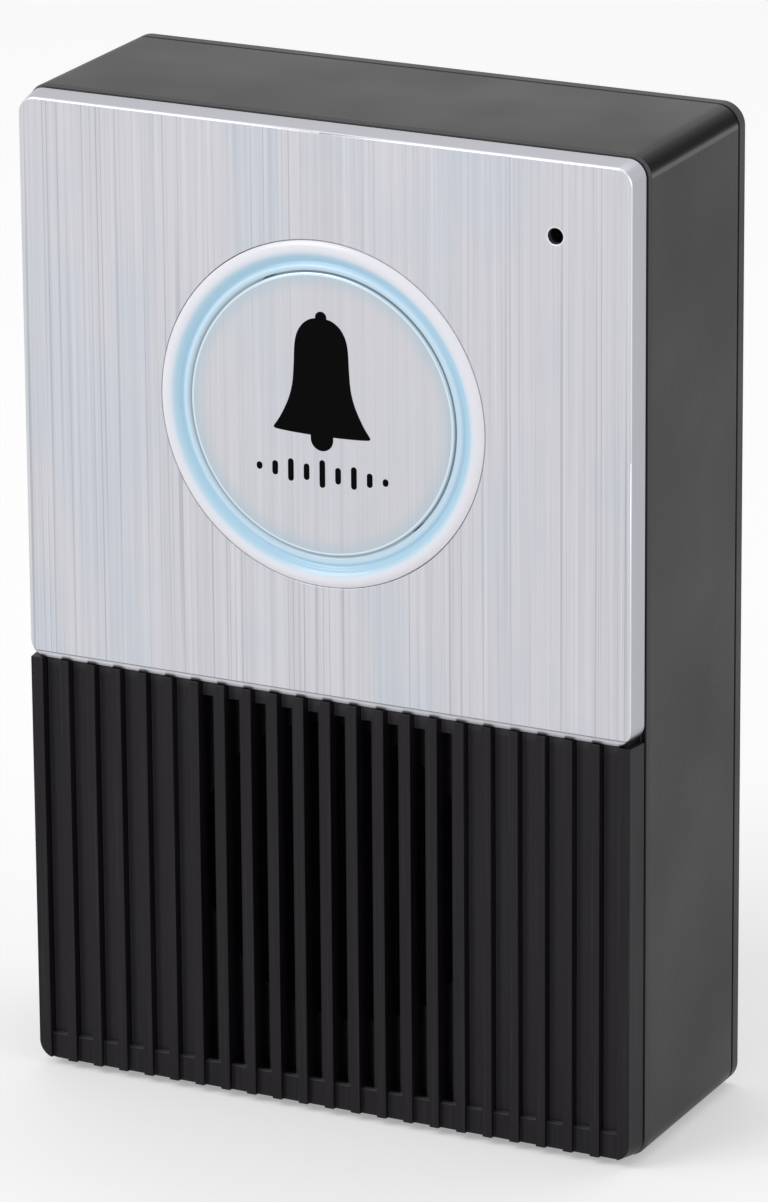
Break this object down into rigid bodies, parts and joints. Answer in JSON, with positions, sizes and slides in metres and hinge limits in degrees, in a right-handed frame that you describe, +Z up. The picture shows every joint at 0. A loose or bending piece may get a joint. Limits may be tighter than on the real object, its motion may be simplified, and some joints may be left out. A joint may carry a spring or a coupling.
{
  "type": "wireless doorbell",
  "caption": "Battery door station: round bell push in a lit ring on a brushed fascia, ribbed speaker grille below, moulded housing on a screwed wall plate.",
  "frame": {"origin": "centre of the foot: middle of the overall box in X and Y, at the lowest level in Z", "axes": "+X to the right seen from the front, +Y from the front face to the wall, +Z up"},
  "size_m": [0.088, 0.034, 0.134],
  "materials": {
    "housing_plastic": "moulded, fine spark texture",
    "cover_plastic": "moulded, satin",
    "brushed_aluminium": "brushed, anodised clear",
    "ring_lens": "translucent, polished",
    "carrier_plastic": "moulded",
    "spring_steel": "nickel plated",
    "switch_plastic": "moulded",
    "circuit_board": "solder resist over glass laminate",
    "lamp_epoxy": "clear epoxy",
    "seal_rubber": "foamed, matt",
    "tinned_can": "tinned",
    "connector_plastic": "moulded",
    "speaker_cloth": "woven",
    "pressed_steel": "zinc plated",
    "speaker_membrane": "formed film",
    "screw_steel": "zinc plated",
    "cell_jacket": "plain printed sleeve"
  },
  "bodies": {
    "housing": {"main_housing": "housing_plastic", "front_cover": "cover_plastic", "fascia_plate": "brushed_aluminium", "light_ring": "ring_lens", "button_spring": "spring_steel", "bell_switch": "switch_plastic", "pairing_switch": "switch_plastic", "main_board": "circuit_board", "ring_lamps": "lamp_epoxy", "microphone_boot": "seal_rubber", "microphone_capsule": "tinned_can", "radio_shield": "tinned_can", "processor_chip": "switch_plastic", "supply_capacitor": "tinned_can", "battery_connector": "connector_plastic", "antenna": "tinned_can", "speaker_screen": "speaker_cloth", "speaker_gasket": "seal_rubber", "speaker_frame": "pressed_steel", "speaker_magnet": "pressed_steel", "speaker_cone": "speaker_membrane", "speaker_screws": "screw_steel", "battery_tray": "carrier_plastic", "battery_cells": "cell_jacket", "battery_contacts": "spring_steel", "battery_springs": "spring_steel", "front_seal": "seal_rubber", "front_screws": "screw_steel", "board_screws": "screw_steel", "tray_screws": "screw_steel"},
    "push": {"button_cap": "brushed_aluminium", "button_carrier": "carrier_plastic"},
    "switch_pin": {"bell_switch_plunger": "carrier_plastic"},
    "pairing_pin": {"pairing_button": "carrier_plastic"},
    "wall_plate": {"rear_cover": "housing_plastic", "rear_seal": "seal_rubber", "lock_screw": "screw_steel"}
  },
  "joints": [
    {"name": "push_slide", "type": "slide", "parent": "housing", "child": "push", "axis": [0, 1, 0], "range_m": [0, 0.001], "stiffness_N_per_m": 800, "springref_m": -0.002, "deforming": ["button_spring"]},
    {"name": "switch_pin_slide", "type": "slide", "parent": "housing", "child": "switch_pin", "axis": [0, 1, 0], "range_m": [0, 0.001]},
    {"name": "pairing_slide", "type": "slide", "parent": "housing", "child": "pairing_pin", "axis": [0, -1, 0], "range_m": [0, 0.0003], "stiffness_N_per_m": 500, "springref_m": -0.002},
    {"name": "wall_plate_slide", "type": "slide", "parent": "housing", "child": "wall_plate", "axis": [0, 1, 0], "range_m": [0, 0.03]}
  ],
  "couplings": [
    {"joint": "switch_pin_slide", "follows": "push_slide", "ratio": 1}
  ]
}
